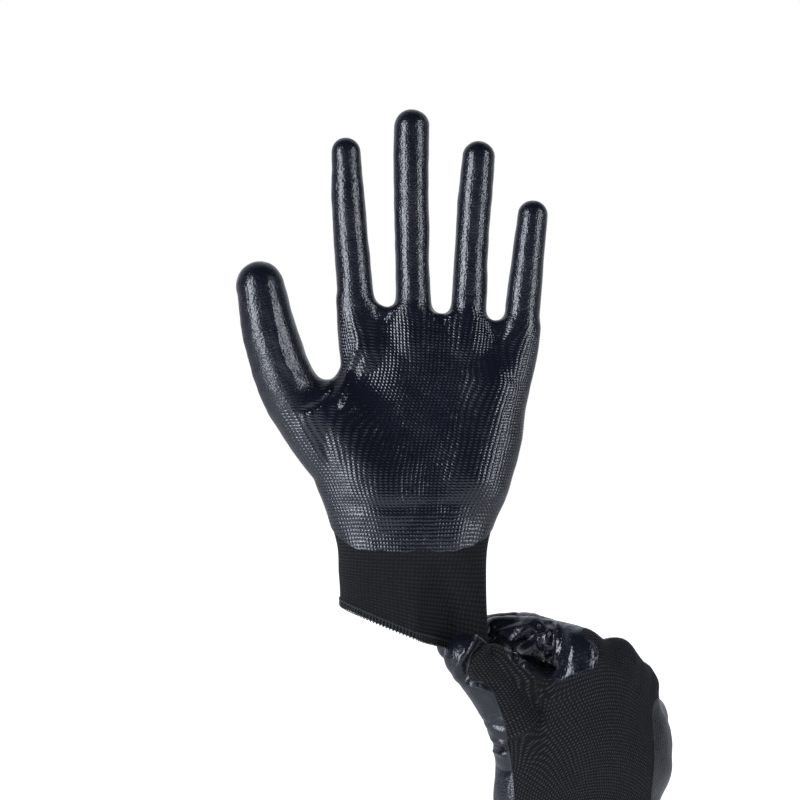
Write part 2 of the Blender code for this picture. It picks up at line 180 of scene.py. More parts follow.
RIGHT = Glove(
    name="right",
    back=-1,
    top=-35.0,
    cuff_top=-98.0,
    dip_edge=-115.5,
    arch=0.011,
    bare=[(40, -9.5), (33.6, -8.7), (28, -12.8), (24.7, -21.7), (27.2, -26.5), (36, -27.3), (38.5, -35.4),
          (42.5, -46.7), (43.5, -58), (46, -84), (48, -125), (110, -125), (112.5, -84), (113.8, -64),
          (113, -50), (114, -40), (122, -28), (112, -10), (95, -2), (84, -1.5), (79.7, -5.5), (85.5, -14),
          (82.5, -21.5), (74.9, -24.9), (66, -26.5), (60.3, -25.7), (54, -24), (47, -18)],
    back_edge=0.55,
    finger_fillet=3.5,
    relief=0.4,
    sections=[
        Section(-151, 70, 8, 36.0, 22.0, 24, 0, 0),
        Section(-132, 72, 8, 34.5, 21.5, 24, 0, 0),
        Section(-114, 74, 8, 35.5, 21.0, 24, 0, 0),
        Section(-98, 77, 8, 39.5, 20.5, 25, 0, 0),
        Section(-82, 79, 8, 43.5, 20.0, 29, -0.12, 0),
        Section(-66, 88.5, 8, 39.0, 19.0, 34, -0.30, 0),
        Section(-50, 94, 9, 35.0, 17.0, 40, -0.50, 0),
        Section(-35, 97, 10.5, 33.0, 13.0, 44, -0.70, 0),
    ],
    stalls=[
        Stall("thumb", [(68, 5, -92), (50, -10, -54), (40, -13.5, -35.5), (25.3, -15.4, -16.2)],
              [15.0, 13.0, 11.6, 10.7], 1, [(-0.3, 0.9, 0.1), (-0.62, 0.75, -0.2)], 0.42),
        Stall("index", [(77, -4, -48), (80, -6, -16), (71.7, 6.3, -13), (55, 31, -8), (32.3, 30.5, -10.2),
                        (19.6, 14.4, -14)],
              [9.5, 9.5, 8.7, 8.0, 7.8, 7.7], 2, [], 0.5),
        Stall("middle", [(91, 4, -50), (97, 2, -21), (88.2, 16.5, -20.5), (73, 41, -19.6), (50, 40, -34),
                         (42, 22, -48)],
              [9.5, 9.5, 8.5, 8.0, 8.1, 8.2], 2, [], 0.4),
        Stall("ring", [(100, 12, -60), (108, 14, -33), (100, 27.8, -33.8), (86.5, 51, -35), (67, 45.8, -51),
                       (62.4, 27.4, -64)],
              [9.5, 9.3, 8.6, 8.1, 8.1, 8.1], 2, [], 0.4),
        Stall("little", [(104, 19, -74), (114, 27, -50), (108, 39.3, -52.8), (98.9, 58.7, -57),
                         (87, 54.7, -72.6), (83.4, 41.2, -84)],
              [9.0, 8.8, 8.4, 7.6, 7.3, 7.1], 2, [], 0.4),
    ],
    pads=[
        Pad([(38, -12.5, -20), (50, -10, -28), (62, -5, -36), (76, -2, -42)], [9.2, 9.2, 9.6, 11], 6),
        Pad([(60, 4, -88), (50, -5, -60)], [16, 12], 8),
        Pad([(84, -2, -19), (97, 4, -23), (105, 12, -32), (109, 20, -45), (109.5, 22, -58)],
            [10.3, 10.3, 10, 9.6, 9.4], 9),
        Pad([(40, 14, -9), (56, 12, -9.5), (72, 3, -13.5)], [8.3, 9.4, 10.5], 4),
        Pad([(76, 30, -24), (56, 30, -25)], [9, 9], 3),
    ],
    folds=[
        Fold([(37, -3), (30, -11), (24.6, -20), (23.5, -31)], 1.8, 2.6),
        Fold([(34, -56.5), (39, -58), (44, -58.5)], 1.3, 2.4),
        Fold([(24.7, -22), (27, -26.5), (36, -27.5), (42, -31)], 1.5, 1.1),
        Fold([(53, 0), (45, -3), (37, -6)], 1.6, 1.3),
        Fold([(67, 1), (62, -3), (55.6, -8), (49.4, -15.6), (47, -19)], 2.0, 2.6),
        Fold([(66.5, 2), (65, -10), (63.7, -27)], 1.2, 1.8),
        Fold([(71, -2), (74, -10), (72, -22)], 2.6, -1.0),
        Fold([(57, -3), (59, -10), (58, -17)], 2.0, -1.0),
        Fold([(80, -4), (86, -14), (82, -22)], 1.6, 0.8),
        Fold([(36, -46), (39, -47.5), (43, -47)], 1.3, 0.8),
        Fold([(37, -68), (41, -69), (46, -68)], 1.4, 0.6),
        Fold([(44, -30), (56, -31), (68, -30.5)], 2.4, 0.5),
    ],
    crumples=[Crumple(58, -9, 20, 0.45), Crumple(24, -16, 12, 0.4), Crumple(40, -50, 14, 0.5)],
)


# ---- small array maths


def smooth_step(x):
    x = np.clip(x, 0, 1)
    return x * x * (3 - 2 * x)


def smooth_min(a, b, k):
    share = np.clip(0.5 + 0.5 * (b - a) / k, 0, 1)
    return b + (a - b) * share - k * share * (1 - share)


def smooth_max(a, b, k):
    return -smooth_min(-a, -b, k)


def lengths(vectors):
    return np.sqrt(np.einsum("ij,ij->i", vectors, vectors))


def unit(vectors):
    return vectors / np.maximum(lengths(vectors), 1e-9)[:, None]


def direction(a, b):
    step = np.asarray(b, float) - np.asarray(a, float)
    return step / np.linalg.norm(step)


def signed_power(x, power):
    return np.sign(x) * np.abs(x) ** power


def arc_lengths(x, y):
    """How far along a line of points each of them is."""
    return np.concatenate([[0], np.cumsum(np.hypot(np.diff(x), np.diff(y)))])


def to_segment(points, start, step):
    """Each point's nearest place on a segment, as a share of its length, and its distance from it."""
    kind = points.dtype
    out = points - start.astype(kind)
    share = np.clip(out @ (step / (step @ step)).astype(kind), 0, 1)
    return share, lengths(out - share[:, None] * step.astype(kind))


def rounded(points, parts):
    """Points along a Catmull-Rom curve through the given ones, with parts steps between each two."""
    points = np.asarray(points, float)
    if len(points) < 3:
        return points
    ends = np.vstack([2 * points[0] - points[1], points, 2 * points[-1] - points[-2]])
    made = []
    for i in range(1, len(ends) - 2):
        a, b, c, d = ends[i - 1:i + 3]
        for t in np.arange(parts) / parts:
            made.append(b + 0.5 * t * (c - a + t * (2 * a - 5 * b + 4 * c - d + t * (3 * (b - c) + d - a))))
    made.append(points[-1])
    return np.array(made)


# ---- the surface under the fabric


class Tube:
    """A tapered tube along a path, with the way its palm side faces at each point."""

    def __init__(self, path, radii, fronts=None, parts=4):
        knots = np.column_stack([path, radii] + ([fronts] if fronts is not None else []))
        knots = rounded(knots, parts)
        self.points, self.radii = knots[:, :3], knots[:, 3]
        self.fronts = knots[:, 4:] if fronts is not None else None
        self.steps = self.points[1:] - self.points[:-1]
        self.arcs = np.concatenate([[0], np.cumsum(lengths(self.steps))])

    def distance(self, points):
        """How far outside the tube each point is."""
        best = None
        for i, step in enumerate(self.steps):
            share, gap = to_segment(points, self.points[i], step)
            gap -= self.radii[i] + (self.radii[i + 1] - self.radii[i]) * share
            best = gap if best is None else np.minimum(best, gap)
        return best

    def locate(self, points):
        """Each point's distance along the tube, its angle round it from the palm side, and how far it is
        past the tube's last point."""
        nearest = np.full(len(points), 1e9)
        place = np.zeros(len(points), int)
        shares = np.zeros(len(points))
        for i, step in enumerate(self.steps):
            share, gap = to_segment(points, self.points[i], step)
            closer = gap < nearest - 1e-9
            nearest[closer], place[closer], shares[closer] = gap[closer], i, share[closer]
        axis = unit(self.steps[place])
        center = self.points[place] + shares[:, None] * self.steps[place]
        front = self.fronts[place] * (1 - shares)[:, None] + self.fronts[place + 1] * shares[:, None]
        front = unit(front - axis * np.einsum("ij,ij->i", front, axis)[:, None])
        side = np.cross(axis, front)
        out = points - center
        angle = np.arctan2(np.einsum("ij,ij->i", out, side), np.einsum("ij,ij->i", out, front))
        past = (points - self.points[-1]) @ unit(self.steps[-1:])[0]
        arc = self.arcs[place] + shares * lengths(self.steps[place])
        return arc, angle, np.maximum(past, 0)


class Hand:
    """The hand and cuff as a stack of superellipse sections."""

    def __init__(self, glove):
        self.glove = glove
        table = np.array(glove.sections, float)
        heights = table[:, 0]
        slopes = np.gradient(table, heights, axis=0)
        self.heights = np.arange(heights[0] - 12, heights[-1] + 14, 0.5)
        place = np.clip(np.searchsorted(heights, self.heights) - 1, 0, len(heights) - 2)
        gap = (heights[place + 1] - heights[place])[:, None]
        t = np.clip((self.heights - heights[place])[:, None] / gap, 0, 1)
        a, b, ma, mb = table[place], table[place + 1], slopes[place] * gap, slopes[place + 1] * gap
        self.table = (a * (1 + 2 * t) * (1 - t) ** 2 + ma * t * (1 - t) ** 2
                      + b * t * t * (3 - 2 * t) + mb * t * t * (t - 1))

    def section(self, heights):
        """The section's values at each height, after the height itself."""
        values = [np.interp(heights, self.heights, self.table[:, k]) for k in range(1, 8)]
        return Section(heights, *values)

    def place(self, points):
        """Each point's height along the hand, and its position across and through its section, where 1 is
        the surface."""
        height = points[:, 2]
        for _ in range(4):
            s = self.section(height)
            yaw = np.radians(s.yaw)
            dx, dy = points[:, 0] - s.x, points[:, 1] - s.y
            across = dx * np.cos(yaw) + dy * np.sin(yaw)
            height = points[:, 2] - s.tilt * across
        a = across / s.half_width
        half_depth = s.half_depth * (1 - s.pinch * smooth_step(a / 0.5))
        b = (dy * np.cos(yaw) - dx * np.sin(yaw)) / half_depth
        return height, a, b, s.half_width, half_depth

    def distance(self, points):
        height, a, b, half_width, half_depth = self.place(points)
        a, b = np.abs(a) + 1e-6, np.abs(b) + 1e-6
        q = (a ** ROUNDNESS + b ** ROUNDNESS) ** (1 / ROUNDNESS)
        slope = np.sqrt((a ** (ROUNDNESS - 1) / half_width) ** 2 + (b ** (ROUNDNESS - 1) / half_depth) ** 2)
        slope /= q ** (ROUNDNESS - 1)
        wall = (q - 1) / np.maximum(slope, 1 / 60)
        return smooth_max(wall, height - self.glove.top, 3.0)


def stall_fronts(stall):
    """The way the palm side faces at each of a stall's points."""
    points = np.array(stall.path, float)
    axes = [direction(points[max(i - 1, 0)], points[min(i + 1, len(points) - 1)]) for i in range(len(points))]
    if stall.palmar:
        first, last = (np.array(p, float) for p in stall.palmar)
        return np.array([first + (last - first) * i / (len(points) - 1) for i in range(len(points))])
    m = stall.mouth
    hinge = np.cross(direction(points[m], points[m + 1]), direction(points[m + 1], points[m + 2]))
    knuckle = np.cross(direction(points[0], points[1]), direction(points[1], points[2]))
    return np.array([np.cross(knuckle if i < 1 else hinge, axis) for i, axis in enumerate(axes)])


class Form:
    """The whole surface of one glove."""

    def __init__(self, glove):
        self.glove = glove
        self.hand = Hand(glove)
        self.pads = [(Tube(p.path, p.radii), p.fillet) for p in glove.pads]
        self.stalls = [Tube(s.path, s.radii, stall_fronts(s)) for s in glove.stalls]
        self.roots = [Tube(s.path[:s.mouth + 1], s.radii[:s.mouth + 1]) for s in glove.stalls]

    def body_distance(self, points):
        """The hand without its stalls."""
        field = self.hand.distance(points)
        for tube, fillet in self.pads:
            field = smooth_min(field, tube.distance(points), fillet)
        return field

    def distance(self, points):
        """The whole glove; a stall has a fillet near its mouth, and only touches what it lies against."""
        field = self.body_distance(points)
        for tube, stall in zip(self.stalls, self.glove.stalls):
            away = lengths(points - np.asarray(stall.path[stall.mouth], points.dtype))
            near = smooth_step((FILLET_GONE - away) / (FILLET_GONE - FILLET_FULL))
            fillet = TOUCH + near * (self.glove.finger_fillet - TOUCH)
            field = smooth_min(field, tube.distance(points), fillet)
        return field

    def corners(self):
        """The box that the surface lies in."""
        spots = [tube.points for tube in self.stalls]
        low = np.min([p.min(0) for p in spots], axis=0)
        high = np.max([p.max(0) for p in spots], axis=0)
        for s in self.glove.sections:
            yaw = math.radians(s.yaw)
            reach = [s.half_width * math.cos(yaw) + s.half_depth, s.half_width * math.sin(yaw) + s.half_depth]
            low[:2] = np.minimum(low[:2], [s.x - reach[0], s.y - reach[1]])
            high[:2] = np.maximum(high[:2], [s.x + reach[0], s.y + reach[1]])
        low[2] = self.glove.cuff_top - 22
        return low - [14, 14, 0], high + [14, 14, 16]


# ---- meshing


def surface_net(field, low, step):
    """Vertices and outward quads where the sampled field passes through 0."""
    cells = tuple(n - 1 for n in field.shape)
    total = np.zeros(cells + (3,))
    count = np.zeros(cells)
    edges = []
    for axis in range(3):
        near = tuple(slice(0, -1) if k == axis else slice(None) for k in range(3))
        far = tuple(slice(1, None) if k == axis else slice(None) for k in range(3))
        a, b = field[near], field[far]
        crossing = (a < 0) != (b < 0)
        where = np.argwhere(crossing)
        starts, ends = a[crossing], b[crossing]
        point = where.astype(float)
        point[:, axis] += starts / (starts - ends)
        u, v = (axis + 1) % 3, (axis + 2) % 3
        around = []
        for du, dv in ((-1, -1), (0, -1), (0, 0), (-1, 0)):
            cell = where.copy()
            cell[:, u] += du
            cell[:, v] += dv
            cell = np.clip(cell, 0, np.array(cells) - 1)
            np.add.at(total, tuple(cell.T), point)
            np.add.at(count, tuple(cell.T), 1)
            around.append(cell)
        edges.append((around, starts < 0))
    used = count > 0
    number = np.full(cells, -1)
    number[used] = np.arange(used.sum())
    vertices = low + step * total[used] / count[used][:, None]
    quads = []
    for around, outward in edges:
        quad = np.stack([number[tuple(cell.T)] for cell in around], axis=1)
        quad[~outward] = quad[~outward][:, ::-1]
        quads.append(quad)
    return vertices, np.vstack(quads)


def triangles(vertices, quads):
    """Each quad as two triangles along its shorter diagonal."""
    a, b, c, d = quads.T
    short = lengths(vertices[a] - vertices[c]) <= lengths(vertices[b] - vertices[d])
    first = np.where(short[:, None], np.stack([a, b, c], 1), np.stack([a, b, d], 1))
    second = np.where(short[:, None], np.stack([a, c, d], 1), np.stack([b, c, d], 1))
    return np.vstack([first, second])


def sums_at(index, values, size):
    return np.stack([np.bincount(index, values[:, k], size) for k in range(values.shape[1])], axis=1)


def relaxed(vertices, faces, share):
    """Each vertex moved a share of the way to the mean of its neighbours."""
    a = faces.ravel()
    b = np.roll(faces, -1, axis=1).ravel()
    size = len(vertices)
    mean = sums_at(a, vertices[b], size) / np.maximum(np.bincount(a, minlength=size), 1)[:, None]
    return vertices + (mean - vertices) * share


def face_vectors(vertices, faces):
    """Each triangle's outward normal, as long as twice its area."""
    a, b, c = (vertices[faces[:, k]] for k in range(3))
    return np.cross(b - a, c - a)


def vertex_normals(vertices, faces):
    spread = np.repeat(face_vectors(vertices, faces), 3, axis=0)
    return unit(sums_at(faces.ravel(), spread, len(vertices)))


def onto_surface(vertices, form, rounds):
    """Vertices moved along the field's slope until they lie on the surface."""
    probe = 0.2
    for _ in range(rounds):
        value = form.distance(vertices)
        rises = [form.distance(vertices + probe * along) - value for along in np.eye(3)]
        slope = np.stack(rises, 1) / probe
        vertices = vertices - slope * (value / np.maximum((slope ** 2).sum(1), 0.2))[:, None]
    return vertices


def sampled(form, step):
    low, high = form.corners()
    axes = [np.arange(low[k], high[k] + step, step, dtype=np.float32) for k in range(3)]
    field = np.empty([len(a) for a in axes], np.float32)
    for i, x in enumerate(axes[0]):
        y, z = np.meshgrid(axes[1], axes[2], indexing="ij")
        points = np.column_stack([np.full(y.size, x, np.float32), y.ravel(), z.ravel()])
        field[i] = form.distance(points).reshape(y.shape)
    field[:, :, 0] = np.maximum(field[:, :, 0], 0.01)
    return surface_net(field, np.array([a[0] for a in axes]), step)


def fold_height(points, fold):
    """How far a fold moves each point outwards: down in its valley and up on its shoulders."""
    path = rounded(fold.path, 6)
    nearest = np.full(len(points), 1e9)
    along = np.zeros(len(points))
    for i, (a, b) in enumerate(zip(path, path[1:])):
        share, gap = to_segment(points[:, [0, 2]], a, b - a)
        closer = gap < nearest
        nearest[closer] = gap[closer]
        along[closer] = (i + share[closer]) / (len(path) - 1)
    fade = smooth_step(along / 0.2) * smooth_step((1 - along) / 0.2)
    d = nearest / fold.width
    return fold.depth * fade * (0.4 * np.exp(-((d - 1.9) ** 2)) - np.exp(-(d ** 2)))


def crumple_height(points, crumple):
    """Sharp creases between flat facets, fading out at the patch's edge."""
    away = np.hypot(points[:, 0] - crumple.x, points[:, 2] - crumple.z) / crumple.radius
    rise = np.zeros(len(points))
    for i in np.flatnonzero(away < 1):
        spot = Vector(points[i])
        crease = min(abs(noise.noise(spot * 0.07)), abs(noise.noise(spot * 0.09 + Vector((7, 3, 5)))))
        rise[i] = -crumple.depth * max(0.0, 1 - crease / 0.2) ** 1.5
    return rise * smooth_step((1 - away) / 0.45)


def outline_distance(points, outline):
    """How far each flat point is outside a closed outline, negative inside it."""
    x, y = points.T
    nearest = np.full(len(x), 1e9)
    inside = np.zeros(len(x), bool)
    for a, b in zip(outline, np.roll(outline, -1, axis=0)):
        step = b - a
        nearest = np.minimum(nearest, to_segment(points, a, step)[1])
        if step[1] != 0:
            inside ^= ((a[1] > y) != (b[1] > y)) & (x < a[0] + step[0] * (y - a[1]) / step[1])
    return np.where(inside, -nearest, nearest)


def unevenness(points):
    """The slow waviness of worn fabric."""
    coarse = np.array([noise.noise(Vector(p * 0.055)) for p in points])
    fine = np.array([noise.noise(Vector(p * 0.16)) for p in points])
    return 0.5 * coarse + 0.2 * fine


# ---- cutting


def clipped(columns, faces, value):
    """The part of a triangle mesh where value is not negative, with new vertices along the cut."""
    keep = value >= 0
    inside = keep[faces]
    count = inside.sum(1)
    pieces = [faces[count == 3]]
    size = len(columns)
    cut = faces[(count == 1) | (count == 2)]
    if len(cut):
        single = keep[cut].sum(1) == 1
        lone = np.where(single[:, None], keep[cut], ~keep[cut]).argmax(1)
        rows = np.arange(len(cut))
        a, b, c = (cut[rows, (lone + k) % 3] for k in range(3))
        pairs = np.sort(np.vstack([np.stack([a, b], 1), np.stack([a, c], 1)]), axis=1)
        pairs, back = np.unique(pairs, axis=0, return_inverse=True)
        back = back.ravel()
        low, high = value[pairs[:, 0]], value[pairs[:, 1]]
        share = (low / (low - high))[:, None]
        columns = np.vstack([columns, columns[pairs[:, 0]] * (1 - share) + columns[pairs[:, 1]] * share])
        ab, ac = size + back[:len(cut)], size + back[len(cut):]
        pieces.append(np.stack([a, ab, ac], 1)[single])
        pieces.append(np.stack([ab, b, c], 1)[~single])
        pieces.append(np.stack([ab, c, ac], 1)[~single])
    faces = np.vstack(pieces)
    used, faces = np.unique(faces, return_inverse=True)
    return columns[used], faces.reshape(-1, 3)


# Columns of a glove's vertices.
PLACE = slice(0, 3)
NORMAL = slice(3, 6)
TURN = slice(6, 8)
COURSES = 8
DIPPED = 9
BAND = 10
SHOWN = 11


class Skin:
    """A glove's fabric as one surface: where it is, how it is knitted and where it is dipped."""

    def __init__(self, glove):
        self.glove = glove
        self.form = Form(glove)
        vertices, quads = sampled(self.form, VOXEL)
        faces = triangles(vertices, quads)
        vertices = relaxed(vertices, faces, 0.6)
        vertices = onto_surface(vertices, self.form, 2)
        vertices = onto_surface(relaxed(vertices, faces, 0.5), self.form, 1)
        normals = vertex_normals(vertices, faces)
        rise = unevenness(vertices)
        facing = smooth_step(0.2 - normals[:, 1] / 0.3)
        for fold in glove.folds:
            rise += facing * fold_height(vertices, fold)
        for crumple in glove.crumples:
            rise += crumple_height(vertices, crumple)
        vertices = vertices + normals * rise[:, None]
        self.faces = faces
        self.normals = vertex_normals(vertices, faces)
        self.vertices = vertices
        self.regions = self.stall_regions()
        self.columns = self.describe()

    def stall_regions(self):
        """For each stall, how far each vertex is inside it: past its mouth, and nearer to it than to
        anything else."""
        tubes = [tube.distance(self.vertices) for tube in self.form.stalls]
        roots = [tube.distance(self.vertices) for tube in self.form.roots]
        body = self.form.hand.distance(self.vertices)
        regions = []
        for i, stall in enumerate(self.glove.stalls):
            start, axis = mouth_plane(stall)
            others = np.min([body] + [d for j, d in enumerate(tubes) if j != i]
                            + [d for j, d in enumerate(roots) if j != i], axis=0)
            plane = (self.vertices - start) @ axis
            regions.append(np.minimum(plane, others - tubes[i]))
        return regions

    def describe(self):
        """Every vertex's columns: place, normal, cosine and sine round the knitting, courses, dip, band
        and how much the stitches show."""
        glove = self.glove
        x = self.vertices[:, 0]
        height, a, b, half_width, half_depth = self.form.hand.place(self.vertices)
        turn = knit_turn(a, b)
        wave = 0.35 * np.sin(x * 0.31) + 0.25 * np.sin(x * 0.83 + 1)
        dipped = (glove.back_edge - glove.back * b) * half_depth
        arch = glove.arch * (a * half_width) ** 2
        courses = (height + arch) / COURSE
        in_stall = np.zeros(len(a), bool)
        shown = np.full(len(a), glove.relief)
        for stall, tube, region in zip(glove.stalls, self.form.stalls, self.regions):
            near = region > -DIP_BLEND - 1
            share = smooth_step((region[near] + DIP_BLEND) / DIP_BLEND)
            arc, angle, past = tube.locate(self.vertices[near])
            radius = np.interp(arc, tube.arcs, tube.radii)
            dip = (np.cos(angle) + stall.back_edge) * radius
            dip = smooth_max(dip, arc + past * 2 - tube.arcs[-1] + 2.0, 2.0)
            dipped[near] = dipped[near] * (1 - share) + dip * share
            fade = STALL_SMOOTHNESS * smooth_step((region + STITCH_FADE) / STITCH_FADE)
            shown = np.minimum(shown, glove.relief * (1 - fade))
            inside = region[near] >= 0
            spots = np.flatnonzero(near)[inside]
            start = mouth_plane(stall)[0]
            first = start[2] / COURSE
            turn[spots] = angle[inside]
            courses[spots] = first + ((arc + past)[inside] - tube.locate(start[None, :])[0][0]) / COURSE
            in_stall[spots] = True
        if glove.bare:
            edges = rounded(glove.bare + glove.bare[:1], 3)[:-1]
            facing = smooth_step((0.12 - self.normals[:, 1]) / 0.35)
            beyond = outline_distance(self.vertices[:, [0, 2]], edges) + 2 * wave
            dipped = dipped * (1 - facing) + beyond * facing
        edge = glove.dip_edge + 8 * np.clip(np.abs(a), 0, 1) ** 6 + wave
        dipped = smooth_min(dipped, np.where(in_stall, 1e3, height - edge), 2.0)
        band = smooth_step((glove.cuff_top + 1.0 - height) / 1.5) * ~in_stall
        return np.column_stack([self.vertices, self.normals, np.cos(turn), np.sin(turn), courses, dipped,
                                band, shown])

    def part(self, value):
        return clipped(self.columns, self.faces, value)


def superellipse(angle):
    return signed_power(np.cos(angle), 2 / ROUNDNESS), signed_power(np.sin(angle), 2 / ROUNDNESS)


def knit_turn(a, b):
    """The angle round a section at which evenly spaced wales meet the points (a, b) of its outline."""
    angle = np.linspace(-math.pi, math.pi, OUTLINE_STEPS)
    x, y = superellipse(angle)
    run = arc_lengths(x * FLATNESS, y)
    even = run / run[-1] * math.tau - math.pi
    mine = np.arctan2(signed_power(b, ROUNDNESS / 2), signed_power(a, ROUNDNESS / 2))
    return np.interp(mine, angle, even)


def mouth_plane(stall):
    """Where the fabric of a stall starts to bend, a little past its mouth, and the way the stall runs."""
    mouth, crease = (np.array(p, float) for p in stall.path[stall.mouth:stall.mouth + 2])
    axis = direction(mouth, crease)
    past = min(MOUTH_PAST, MOUTH_SHARE * np.linalg.norm(crease - mouth))
    return mouth + axis * past, axis


def crease_plane(stall):
    mouth, crease, beyond = (np.array(p, float) for p in stall.path[stall.mouth:stall.mouth + 3])
    axis = direction(mouth, crease) + direction(crease, beyond)
    return crease, axis / np.linalg.norm(axis)


# ---- pieces


def new_object(name, vertices, faces, material, normals=None, uv=None, layers=None):
    """A mesh object from arrays in millimetres. normals and uv are for each corner of each face, and
    layers is a dictionary of values for each vertex."""
    data = bpy.data.meshes.new(name)
    data.from_pydata((vertices * MM).tolist(), [], faces.tolist())
    data.materials.append(material)
    data.shade_smooth()
    if uv is not None:
        data.uv_layers.new(name="knit").data.foreach_set("uv", uv.astype(np.float32).ravel())
    for label, values in (layers or {}).items():
        layer = data.attributes.new(label, "FLOAT", "POINT")
        layer.data.foreach_set("value", values.astype(np.float32))
    if normals is not None:
        data.normals_split_custom_set(normals.astype(float).tolist())
    made = bpy.data.objects.new(name, data)
    bpy.context.scene.collection.objects.link(made)
    return made


def rim_edges(faces):
    """The open edges of a triangle mesh, each the way its face runs."""
    edges = np.vstack([faces[:, [0, 1]], faces[:, [1, 2]], faces[:, [2, 0]]])
    key = np.sort(edges, axis=1)
    _, back, count = np.unique(key, axis=0, return_inverse=True, return_counts=True)
    return edges[count[back.ravel()] == 1]


def corner_uv(columns, faces, wales):
    """Wales and courses at each corner, with the wales unbroken within each face."""
    turn = np.arctan2(columns[:, TURN][:, 1], columns[:, TURN][:, 0]) / math.tau
    u = turn[faces]
    u = np.where(u.max(1, keepdims=True) - u > 0.5, u + 1, u)
    return np.stack([u * wales, columns[:, COURSES][faces]], axis=2)


def shell(name, columns, faces, outer, inner, wales, material):
    """A closed shell between two depths below a surface; outer may differ from vertex to vertex."""
    place, normal = columns[:, PLACE], unit(columns[:, NORMAL])
    outer = np.broadcast_to(outer, len(place))
    size = len(place)
    vertices = np.vstack([place - normal * outer[:, None], place - normal * inner])
    rim = rim_edges(faces)
    a, b = rim.T
    walls = np.vstack([np.stack([b, a, a + size], 1), np.stack([b, a + size, b + size], 1)])
    every = np.vstack([faces, faces[:, ::-1] + size, walls])
    corner_normals = np.vstack([
        normal[faces].reshape(-1, 3),
        -normal[faces[:, ::-1]].reshape(-1, 3),
        np.repeat(unit(face_vectors(vertices, walls)), 3, axis=0),
    ])
    uv = corner_uv(columns, faces, wales)
    both = np.vstack([columns, columns])
    uv = np.vstack([uv, uv[:, ::-1], corner_uv(both, walls, wales)])
    layers = {"dipped": both[:, DIPPED], "band": both[:, BAND], "shown": both[:, SHOWN]}
    return new_object(name, vertices, every, material, corner_normals, uv, layers)


SLOTS = ("knit", "nitrile")


def fabric_pieces(liner_name, skin_name, columns, faces, wales, liner_low, materials):
    """The knitted liner of a part of a glove from a height up, and the nitrile over what was dipped."""
    knit_columns, knit_faces = clipped(columns, faces, liner_low)
    liner = shell(liner_name, knit_columns, knit_faces, KNIT_OUTER, KNIT_INNER, wales[0],
                  materials["knit"])
    dip_columns, dip_faces = clipped(columns, faces, columns[:, DIPPED])
    depth = np.clip(dip_columns[:, DIPPED] / SKIN_FADE, 0, 1)
    outer = SKIN_INNER - SKIN_EDGE + (SKIN_OUTER - SKIN_INNER + SKIN_EDGE) * smooth_step(depth)
    skin = shell(skin_name, dip_columns, dip_faces, outer, SKIN_INNER, wales[1], materials["nitrile"])
    return liner, skin


def settle(piece, body, node):
    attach(piece, body)
    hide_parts(node)


def bend_with(piece):
    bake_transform(piece)


def dress_stalls(skin, materials):
    """The base and the tip of each stall, cut at its crease."""
    glove = skin.glove
    for stall, region in zip(glove.stalls, skin.regions):
        start, axis = mouth_plane(stall)
        crease, across = crease_plane(stall)
        base, tip = f"{glove.name}_{stall.name}_base", f"{glove.name}_{stall.name}_tip"
        columns, faces = skin.part(region)
        beyond = (columns[:, PLACE] - crease) @ across
        room = np.linalg.norm(crease - start)
        lengths_made = (
            (base, f"{glove.name}_hand", -beyond, (start, axis), room * 0.5),
            (tip, base, beyond, (crease, across), CREASE_RUN),
        )
        for body, parent, value, plane, run in lengths_made:
            part_columns, part_faces = clipped(columns, faces, value)
            everywhere = np.ones(len(part_columns))
            pieces = fabric_pieces(f"{body}_liner", f"{body}_nitrile", part_columns, part_faces,
                                   (STALL_WALES, STALL_SHOWN), everywhere, materials)
            for piece, slot, node in zip(pieces, SLOTS, (f"{body}_knit", f"{body}_skin")):
                bend_with(piece)
                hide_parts(node)


def dress_hand(skin, materials):
    """The palm's knit above the cuff, and the palm's nitrile, which runs down over the cuff's top."""
    glove = skin.glove
    name = f"{glove.name}_hand"
    columns, faces = skin.part(-np.max(skin.regions, axis=0))
    above_cuff = skin.form.hand.place(columns[:, PLACE])[0] - glove.cuff_top
    pieces = fabric_pieces(f"{name}_liner", f"{glove.name}_palm_nitrile", columns, faces,
                           (HAND_WALES, HAND_SHOWN), above_cuff, materials)
    for piece, slot, node in zip(pieces, SLOTS, (f"{name}_knit", f"{glove.name}_palm_skin")):
        settle(piece, name, node)


# ---- cuffs


def outline(hand, height, count, depth):
    """Evenly spaced points and outward normals round a section, some depth below its surface."""
    s = Section(*[float(np.ravel(v)[0]) for v in hand.section(np.array([height]))])
    a, b = superellipse(np.linspace(0, math.tau, OUTLINE_STEPS))
    x = a * s.half_width
    y = b * s.half_depth * (1 - s.pinch * smooth_step(a / 0.5))
    run = arc_lengths(x, y)
    even = np.arange(count) / count * run[-1]
    x, y = np.interp(even, run, x), np.interp(even, run, y)
    tangent = np.stack([np.roll(x, -1) - np.roll(x, 1), np.roll(y, -1) - np.roll(y, 1)], 1)
    out = unit(np.stack([tangent[:, 1], -tangent[:, 0]], 1))
    x, y = x - out[:, 0] * depth, y - out[:, 1] * depth
    yaw = math.radians(s.yaw)
    across, through = np.array([math.cos(yaw), math.sin(yaw)]), np.array([-math.sin(yaw), math.cos(yaw)])
    points = np.column_stack([
        s.x + x * across[0] + y * through[0],
        s.y + x * across[1] + y * through[1],
        height + s.tilt * x,
    ])
    normals = np.column_stack([np.outer(out[:, 0], across) + np.outer(out[:, 1], through), np.zeros(count)])
    return points, normals


def grid_faces(rows, columns):
    """Triangles of a closed tube of rows rings with columns points each."""
    i, j = np.meshgrid(np.arange(rows - 1), np.arange(columns), indexing="ij")
    a, b = i * columns + j, i * columns + (j + 1) % columns
    c, d = b + columns, a + columns
    quads = np.stack([a, b, c, d], -1).reshape(-1, 4)
    return np.vstack([quads[:, [0, 1, 2]], quads[:, [0, 2, 3]]])


